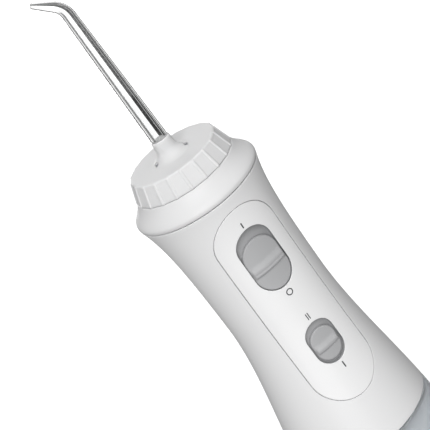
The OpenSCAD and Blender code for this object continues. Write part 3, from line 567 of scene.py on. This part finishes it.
# ---- rotation knob: flats between narrow round ribs, a soft top edge and a flared boss ----
def make_knob():
    offsets = [0, 0.35, 0.7, 1.0, 1.25, 1.45, 1.65, 1.9, 2.3, 3.0, 4.2, 5.6, 7.2, 9.0]
    angles = []
    for k in range(20):
        mid = 18 * k + 1.2
        angles += [mid - o for o in offsets[-2:0:-1]] + [mid + o for o in offsets]
    t = np.radians(np.array(angles))
    local = np.radians(np.tile(np.array([-o for o in offsets[-2:0:-1]] + offsets), 20))
    flat_gap = np.radians(9) - np.abs(local)
    widest = 21.44

    def radius(r, facet=1.0, rib=1.0):
        poly = r * math.cos(math.radians(9)) / np.cos(flat_gap)
        base = r * (1 - facet) + poly * facet
        d = np.abs(local) * r
        bump = np.sqrt(np.clip(1 - (d / 0.62) ** 2, 0, 1)) * 0.3
        return np.minimum(base + bump * rib, widest)

    rows = []

    def add(r, z, facet=1.0, rib=1.0):
        rr = radius(r, facet, rib) if (facet or rib) else np.full_like(t, r)
        rows.append(np.stack([rr * np.cos(t), rr * np.sin(t), np.full_like(t, z)], axis=1))

    def flank(z):
        return 21.1 + (18.4 - 21.1) * (z - 207.9) / (216 - 207.9)

    add(19.2, 207.85, 0, 0)
    add(20.2, 207.76, 0.6, 0)
    add(flank(207.9) - 0.22, 207.73, 1, 0.3)
    add(flank(207.9) - 0.07, 207.77, 1, 0.6)
    add(flank(208.0), 207.9, 1, 0.9)
    for z in (208.3, 208.8, 209.8, 211, 212.2, 213.2, 213.9, 214.3):
        add(flank(z), z)
    top_edge = 0.95
    for i in range(0, 9):
        a = math.radians(90 * i / 8)
        z = 216 - top_edge + top_edge * math.sin(a)
        r = flank(216 - top_edge) - top_edge * 1.1 * (1 - math.cos(a))
        fade = math.cos(a)
        add(r, z, fade, fade ** 1.5)
    start = flank(216 - top_edge) - top_edge * 1.1
    for k in (0.85, 0.6, 0.35):
        add(9.1 + (start - 9.1) * k, 216.0 + 0.05 * (1 - k), 0, 0)
    for a in np.linspace(90, 4, 22):
        out, rise = 1 - math.cos(math.radians(a)), 1 - math.sin(math.radians(a))
        add(4.05 + 5.0 * out, 216.05 + 4.4 * rise, 0, 0)
    add(3.96, 222, 0, 0)
    add(3.9, 223.1, 0, 0)
    add(3.84, 223.3, 0, 0)
    add(3.73, 223.39, 0, 0)
    add(3.6, 223.36, 0, 0)
    add(3.53, 223.2, 0, 0)
    add(3.53, 222, 0, 0)
    add(3.53, 213.7, 0, 0)
    add(3.53, 199.2, 0, 0)
    add(5.0, 199.2, 0, 0)
    add(6.3, 199.2, 0, 0)
    add(6.3, 206, 0, 0)
    add(6.3, 213.6, 0, 0)
    add(11, 213.6, 0, 0)
    add(16.7, 213.6, 0, 0)
    add(17.8, 211, 0, 0)
    p = Piece()
    ids = p.loops(rows)
    p.strip(ids[-1], ids[0])
    obj = p.build("knob_body", knob_white, "knob", "rotation_knob", sharp=55)
    cutter = bmesh.new()
    for s in (-1, 1):
        made = bmesh.ops.create_cube(cutter, size=1.0)
        for v in made["verts"]:
            v.co = Vector((v.co.x * 1.4 + s * 6.6, v.co.y * 3.4 + 1.1, v.co.z * 5.2 + 216.4)) * MM
        edges = list({e for v in made["verts"] for e in v.link_edges})
        bmesh.ops.bevel(cutter, geom=edges, offset=0.35 * MM, segments=3, affect="EDGES", profile=0.5)
    mesh = bpy.data.meshes.new("slot_cutter")
    cutter.to_mesh(mesh)
    cutter.free()
    tool = bpy.data.objects.new("slot_cutter", mesh)
    bpy.context.scene.collection.objects.link(tool)
    tool.data.transform(Matrix.Rotation(math.radians(166.5), 4, "Z"))
    mod = obj.modifiers.new("slots", "BOOLEAN")
    mod.object, mod.operation, mod.solver = tool, "DIFFERENCE", "EXACT"
    apply_modifiers(obj)
    bpy.data.objects.remove(tool)
    return obj


def apply_modifiers(obj):
    dg = bpy.context.evaluated_depsgraph_get()
    new = bpy.data.meshes.new_from_object(obj.evaluated_get(dg), preserve_all_data_layers=True, depsgraph=dg)
    old = obj.data
    obj.modifiers.clear()
    obj.data = new
    bpy.data.meshes.remove(old)
    new.name = obj.name


# ---- jet tip: a clear tapered tube with a bore, a bend and a straight nozzle ----
def make_tip():
    z_bend, bend_r, bend_a, nozzle = 281.0, 7.4, math.radians(50.5), 8.4
    heading = math.radians(166.5)
    foot_z, ring_z = 223.7, 223.66
    stations = list(np.linspace(204, 206.3, 4)) + [206.4, 206.5, 207.5, 207.6]
    stations += list(np.linspace(208, 223, 12)) + [foot_z]
    stations += list(np.linspace(225, z_bend, 40)[:-1])
    line = [(0.0, z, 0.0) for z in stations]
    for i in range(33):
        a = bend_a * i / 32
        line.append((bend_r * (1 - math.cos(a)), z_bend + bend_r * math.sin(a), a))
    x1, z1, _ = line[-1]
    for i in range(1, 17):
        d = (nozzle - 0.25) * i / 16
        line.append((x1 + d * math.sin(bend_a), z1 + d * math.cos(bend_a), bend_a))
    total = []
    s = 0.0
    for k, q in enumerate(line):
        if k:
            s += math.hypot(q[0] - line[k - 1][0], q[1] - line[k - 1][1])
        total.append(s)
    s_mouth, s_b0 = 223 - 204.0, z_bend - 204.0
    s_b1, s_end = s_b0 + bend_r * bend_a, s_b0 + bend_r * bend_a + nozzle
    outer_s = [0, 2.3, 2.4, 2.5, 3.5, 3.6, 4.2, s_mouth, s_b0, s_b1, s_end]
    outer_r = [3.45, 3.45, 3.2, 2.55, 2.55, 3.2, 3.45, 3.48, 2.52, 2.02, 1.08]
    bore_s = [0, s_mouth - 0.2, s_mouth, s_b0, s_b1, s_end]
    bore_r = [1.28, 1.28, 2.02, 1.44, 1.15, 0.4]
    turn = np.linspace(0, TAU, 64, endpoint=False)

    def circle(q, r, push=0.0):
        x, z, a = q
        px = x + push * math.sin(a) + r * np.cos(turn) * math.cos(a)
        py = r * np.sin(turn)
        pz = z + push * math.cos(a) - r * np.cos(turn) * math.sin(a)
        return np.stack([px * math.cos(heading) - py * math.sin(heading),
                         px * math.sin(heading) + py * math.cos(heading), pz], axis=1)

    rings = [circle(q, float(np.interp(s, outer_s, outer_r))) for q, s in zip(line, total)]
    last = line[-1]
    for i in range(1, 6):
        a = math.radians(90 * i / 5)
        rings.append(circle(last, 1.08 - 0.25 * (1 - math.cos(a)), 0.25 * math.sin(a)))
    rings.append(circle(last, 0.62, 0.25))
    rings.append(circle(last, 0.46, 0.19))
    rings += [circle(q, float(np.interp(s, bore_s, bore_r))) for q, s in zip(line[::-1], total[::-1])]
    p = Piece()
    ids = p.loops(rings)
    p.strip(ids[-1], ids[0])
    # a flat ring inside the wall at ring_z closes the foot's top; with the foot it takes the glowing material
    # below, painted light
    p.loops([circle((0.0, ring_z, 0.0), r) for r in (3.45, 2.8, 2.05)])
    obj = p.build("tip_tube", tip_clear, "tip", "jet_tip", sharp=50)
    obj.data.materials.append(tip_root_painted_glow)
    for f in obj.data.polygons:
        if f.center.z < (foot_z - 0.01) * MM:
            f.material_index = 1
    return obj


# ---- release button with grip ridges ----
def make_button():
    p = Piece()
    place = barrel(28.7, 4.9)

    def surface(phi, z, inset):
        x = 28.7 * np.sin(phi)
        inside = -away(BUTTON, x, z)
        waves = 0.28 * np.cos((z - 93) * TAU / 1.55) * smooth(inside, 0.7, 1.5)
        ridges = waves - 0.28 * smooth(inside, 0.4, 1.2)
        return place(phi, z, inset - ridges * 0.5)

    r, r_ids, _ = rim(p, BUTTON, edge(0.5, -1, 3.0, n=6), surface, lambda z: 28.7,
                      back=True, arc=12, step=0.4)

    def clear(phi, z):
        return -away(BUTTON, 28.7 * np.sin(phi), z) - 0.95

    grid = grid_points((PI - 0.4) * S, (PI + 0.4) * S, 88, 98, 0.4, 0.14, lambda a, z: clear(a, z) > 0.12)
    p.fill(lambda g: surface(g[:, 0] / S, g[:, 1], 0.0), [r], [r_ids], grid,
           lambda s, z: clear(np.float64(s / S), np.float64(z)) > 0)
    arm = Piece()
    box_faces(arm, -4, 4, 29.5, 31.2, 79.05, 92, 0.3)
    p.faces += [tuple(i + len(p.points) for i in f) for f in arm.faces]
    p.points += arm.points
    return p.build("button_cap", button_grey, "release_key", "release_button",
                   centre=(0, 10, 93))


def box_faces(piece, x0, x1, y0, y1, z0, z1, cut):
    """A box with its upright and level edges chamfered by cut."""
    bm = bmesh.new()
    made = bmesh.ops.create_cube(bm, size=1.0)
    for v in made["verts"]:
        v.co = Vector(((x0 + x1) / 2 + v.co.x * (x1 - x0), (y0 + y1) / 2 + v.co.y * (y1 - y0),
                       (z0 + z1) / 2 + v.co.z * (z1 - z0)))
    bmesh.ops.bevel(bm, geom=list(bm.edges), offset=cut, segments=2, affect="EDGES", profile=0.5)
    base = len(piece.points)
    bm.verts.index_update()
    piece.points += [tuple(v.co) for v in bm.verts]
    piece.faces += [tuple(base + v.index for v in f.verts) for f in bm.faces]
    bm.free()


# ---- tank: a closed frosted wall with the filling opening, the mouth and the hinge lugs ----
def make_tank():
    p = Piece()
    hole_out = (0, 0, 11.8, 0, 40)
    hole_in = (0, 0, 9.6, 0, 40)
    steps = edge(0.3, 1, 1.05) + [(-2.2, 1.05), (-2.2, 2.0)]
    b, b_ids, _ = rim(p, hole_out, steps, skin, body_r, back=True)
    z0, z1 = 8.0, 77.3
    lo, hi, phis = round_wall(p, z0, z1, 120, 1.4, [], [(hole_out, 0.75, b, b_ids)])
    bottom = []
    for a in np.linspace(10, 90, 9):
        a = math.radians(a)
        bottom.append((8 - 7 * math.sin(a), 7 * (1 - math.cos(a))))
    last = turn_rows(p, lo, phis, bottom)
    pad = barrel(23.05, 8)
    for z in (1.0, 1.65):
        new = p.add(pad(phis, np.full_like(phis, z)))
        p.strip(last, new, closed=False)
        last = new
    p.cap(last[:-1])
    up = [(z1 + 0.5 * math.sin(math.radians(a)), 0.5 * (1 - math.cos(math.radians(a)))) for a in (30, 60, 90)]
    last = turn_rows(p, hi, phis, up)
    for r, z in ((22.4, 77.8), (22.1, 77.7), (22.0, 77.4), (22.0, 71.2), (22.2, 71.0),
                 (24.0, 71.0), (24.0, 75.6)):
        new = p.add(barrel(r, 6.5)(phis, np.full_like(phis, z)))
        p.strip(last, new, closed=False)
        last = new
    inner = Piece()
    ring_in = ring(hole_in)
    phi_in = turned(ring_in[:, 0], ring_in[:, 1], body_r, True)
    i_ids = inner.add(skin(phi_in, ring_in[:, 1], 2.0))
    flat = np.stack([phi_in * S, ring_in[:, 1]], axis=1)
    lo2, hi2, phis2 = round_wall(inner, 8.0, 75.6, 120, 1.8, [], [(hole_in, 0.0, flat, i_ids)],
                                 place=lambda a, z: skin(a, z, 2.0))
    low_steps = []
    for a in np.linspace(15, 90, 6):
        a = math.radians(a)
        low_steps.append((8 - 5 * math.sin(a), 2.0 + 5 * (1 - math.cos(a))))
    last2 = turn_rows(inner, lo2, phis2, low_steps)
    inner.cap(last2[:-1])
    base = len(p.points)
    p.points += inner.points
    p.faces += [tuple(i + base for i in f) for f in inner.faces]
    p.strip([i + base for i in hi2], last, closed=False)
    lugs = Piece()
    for s in (-1, 1):
        lug(lugs, s * 4.6 - 1.1, s * 4.6 + 1.1)
    base = len(p.points)
    p.points += lugs.points
    p.faces += [tuple(i + base for i in f) for f in lugs.faces]
    return p.build("tank_wall", tank_frost, "tank", "reservoir")


HINGE_Y, HINGE_Z = 40.75, 27.0


def lug(piece, x0, x1, reach=2.2, r=1.6, bevel=0.25):
    """A hinge lug: a round eye with a web that runs into the wall, its ends chamfered."""
    outline = []
    for a in np.linspace(-90, 90, 19):
        outline.append((HINGE_Y + r * math.cos(math.radians(a)), HINGE_Z + r * math.sin(math.radians(a))))
    outline += [(HINGE_Y - reach, HINGE_Z + r), (HINGE_Y - reach, HINGE_Z - r)]
    o = np.array(outline)
    mid = o.mean(axis=0)
    shrunk = mid + (o - mid) * (1 - bevel / r)
    rings = []
    for x, q in ((x0, shrunk), (x0 + bevel, o), (x1 - bevel, o), (x1, shrunk)):
        rings.append(np.stack([np.full(len(q), x), q[:, 0], q[:, 1]], axis=1))
    ids = piece.loops(rings)
    piece.cap(ids[0], 2)
    piece.cap(ids[-1], 2)


def make_door():
    p = Piece()

    def surface(phi, z, inset):
        x = 31.95 * np.sin(phi)
        d = np.hypot(x, z - 40)
        dish = 0.25 * smooth(d, 8.6, 9.4) * (1 - smooth(d, 9.6, 10.4))
        notch = 0.45 * np.exp(-((x / 3.2) ** 2 + ((z - 49.4) / 1.1) ** 2))
        return skin(phi, z, inset + 0.03 + dish + notch)

    r, r_ids, ids = rim(p, DOOR, edge(0.35, -1, 0.92), surface, body_r, back=True, arc=20)
    p.cap(ids[-1], 8)

    def clear(phi, z):
        return -away(DOOR, 31.95 * np.sin(phi), z) - 0.8

    grid = grid_points((PI - 0.42) * S, (PI + 0.42) * S, 28, 52, 0.5, 0.45, lambda a, z: clear(a, z) > 0.25)
    p.fill(lambda g: surface(g[:, 0] / S, g[:, 1], 0.0), [r], [r_ids], grid,
           lambda s, z: clear(np.float64(s / S), np.float64(z)) > 0)
    plug = Piece()
    lug(plug, -3.2, 3.2, reach=1.55)
    a = np.linspace(0, TAU, 72, endpoint=False)
    rings = []
    for rr, inset in ((8.9, 0.9), (8.9, 1.25), (8.45, 1.3), (8.45, 2.05), (8.9, 2.1),
                      (8.9, 2.45), (8.75, 2.6), (8.1, 2.6), (8.0, 2.5), (8.0, 1.6)):
        x, z = rr * np.cos(a), 40 + rr * np.sin(a)
        rings.append(skin(turned(x, z, body_r, True), z, inset))
    top = plug.loops(rings)
    plug.cap(top[-1], 4)
    base = len(p.points)
    p.points += plug.points
    p.faces += [tuple(i + base for i in f) for f in plug.faces]
    return p.build("door_leaf", tank_frost, "tank_door", "fill_door")


def make_pad():
    p = Piece()
    profile = [(0.5, 0.02), (5, 0.02)]
    for r in (7, 10.5, 14, 17.5):
        profile += [(r - 0.6, 0.02), (r - 0.45, 0.35), (r + 0.45, 0.35), (r + 0.6, 0.02)]
    profile += [(21.9, 0.0), (22.5, 0.08), (22.85, 0.35), (22.98, 0.8), (22.98, 1.55),
                (22.6, 1.6), (10, 1.6), (0.5, 1.6)]
    lathe(p, profile, 96, (0, 8), closed=True)
    return p.build("foot_pad", pad_rubber, "tank", "base_pad")


make_shell()
make_panel()
make_linings()
make_key("power_key_cap", POWER_KEY, "power_slider", "power_key", (2.5, -0.1), (-1.8, -2.95))
make_key("pressure_key_cap", PRESSURE_KEY, "pressure_slider", "pressure_key", (1.9, -0.9), (-1.1, -2.4))
make_marks()
make_collar()
make_knob()
make_tip()
make_button()
make_tank()
make_door()
make_pad()

# ---- floor, light and camera ----
floor_mat = moulded("studio_floor", (0.96, 0.96, 0.96), 0.85, tint=0.004, grain=0.05, grain_scale=500,
                     Emission_Color=(1, 1, 1, 1), Emission_Strength=0.42)
ft = floor_mat.node_tree
spot = node_of(ft, "ShaderNodeTexCoord")
reach = node_of(ft, "ShaderNodeVectorMath", operation="LENGTH")
lift = node_of(ft, "ShaderNodeMapRange", interpolation_type="SMOOTHSTEP")
lift.inputs["From Min"].default_value = 0.4
lift.inputs["From Max"].default_value = 3.0
lift.inputs["To Min"].default_value = 0.42
lift.inputs["To Max"].default_value = 1.0
ft.links.new(spot.outputs["Object"], reach.inputs[0])
ft.links.new(reach.outputs["Value"], lift.inputs["Value"])
ft.links.new(lift.outputs["Result"], ft.nodes["Principled BSDF"].inputs["Emission Strength"])
bm = bmesh.new()
bmesh.ops.create_grid(bm, x_segments=40, y_segments=40, size=12.0)
floor_mesh = bpy.data.meshes.new("studio_floor")
bm.to_mesh(floor_mesh)
bm.free()
floor = bpy.data.objects.new("studio_floor", floor_mesh)
bpy.context.scene.collection.objects.link(floor)
floor.data.materials.append(floor_mat)
floor.visible_diffuse = False
floor.visible_glossy = False
floor.visible_shadow = False


def area(name, place, aim, size, power):
    lamp = bpy.data.lights.new(name, "AREA")
    lamp.shape = "RECTANGLE"
    lamp.size, lamp.size_y = size
    lamp.energy = power
    obj = bpy.data.objects.new(name, lamp)
    bpy.context.scene.collection.objects.link(obj)
    obj.location = place
    obj.rotation_euler = (Vector(aim) - Vector(place)).to_track_quat("-Z", "Y").to_euler()
    return obj


def beam(name, azimuth, elevation, distance, size, strength):
    """A soft box that gives its strength, in units of white paper, at the object's middle."""
    a, e = math.radians(azimuth), math.radians(elevation)
    way = Vector((math.sin(a) * math.cos(e), -math.cos(a) * math.cos(e), math.sin(e)))
    aim = Vector((0, 0, 0.15))
    lamp = area(name, aim + way * distance, aim, size, strength * (PI * distance) ** 2)
    lamp.visible_transmission = False
    return lamp


beam("top_box", -10, 86, 4.6, (1.4, 1.4), 0.31)
beam("upper_box", -22, 40, 2.6, (1.6, 1.3), 0.55)
beam("front_box", -26, -10, 2.2, (1.6, 1.3), 0.33)
beam("side_box", 62, 10, 2.2, (0.8, 0.8), 0.08)
beam("back_box", 166.5, -4, 2.2, (1.2, 1.2), 0.5)


# ---- dark and grey boards round the clear tip: hidden from the camera, seen bent in its edges ----
def board(name, turn0, turn1, glow, rows=((350, 5), (350, 120), (350, 240), (350, 380))):
    flag = Piece()
    sweep = np.radians(np.linspace(turn0, turn1, 16) + 13.5)
    flag.loops([np.stack([r * np.sin(sweep), r * np.cos(sweep), np.full_like(sweep, z)], axis=1)
                for r, z in rows], closed=False)
    mesh = bpy.data.meshes.new(name)
    mesh.from_pydata([Vector(p) * MM for p in flag.points], [], flag.faces)
    obj = bpy.data.objects.new(name, mesh)
    bpy.context.scene.collection.objects.link(obj)
    obj.data.materials.append(moulded(name, (0.03, 0.03, 0.03), 0.9, tint=0.2, grain=0.3,
                                      Emission_Color=(1, 1, 1, 1), Emission_Strength=glow))
    obj.visible_camera = False
    obj.visible_diffuse = False
    obj.visible_shadow = False


board("board_near", 4, 29, 0.0)
board("board_middle", 29, 46, 0.48)
board("board_side", 46, 100, 0.0)
board("board_left", -62, -27, 0.42)
board("board_far_left", -95, -62, 0.0)
board("board_low", 95, 265, 0.0, rows=((500, 3), (600, 3), (700, 3), (800, 3)))
board("board_right_view", -125, -106, 0.02)
board("board_back_view", 178, 204, 0.02)

world = bpy.data.worlds.new("studio")
bpy.context.scene.world = world
world.use_nodes = True
wt = world.node_tree
sky = wt.nodes["Background"]
sky.inputs["Color"].default_value = (1.0, 1.0, 1.0, 1)
sky.inputs["Strength"].default_value = 0.27
seen = node_of(wt, "ShaderNodeBackground")
seen.inputs["Color"].default_value = (1.0, 1.0, 1.0, 1)
seen.inputs["Strength"].default_value = 1.0
path = node_of(wt, "ShaderNodeLightPath")
pick = node_of(wt, "ShaderNodeMixShader")
wt.links.new(path.outputs["Is Camera Ray"], pick.inputs["Fac"])
wt.links.new(sky.outputs["Background"], pick.inputs[1])
wt.links.new(seen.outputs["Background"], pick.inputs[2])
wt.links.new(pick.outputs["Shader"], wt.nodes["World Output"].inputs["Surface"])

az, el, roll = math.radians(-13.5), math.radians(21.77), math.radians(36.37)
back = Vector((math.sin(az) * math.cos(el), -math.cos(az) * math.cos(el), math.sin(el)))
right = Vector((math.cos(az), math.sin(az), 0))
up = back.cross(right)
cam_x = right * math.cos(roll) - up * math.sin(roll)
cam_y = right * math.sin(roll) + up * math.cos(roll)
aim_at = right * -0.0003 + Vector((0, 0, 0.18624))
cam = bpy.data.cameras.new("camera")
cam.sensor_width = 36
cam.lens = 1869 / 430 * 36
camera = bpy.data.objects.new("camera", cam)
bpy.context.scene.collection.objects.link(camera)
turn = Matrix((cam_x, cam_y, back)).transposed().to_4x4()
camera.matrix_world = Matrix.Translation(aim_at + back * 0.7) @ turn
bpy.context.scene.camera = camera
bpy.context.scene.view_settings.view_transform = "Standard"
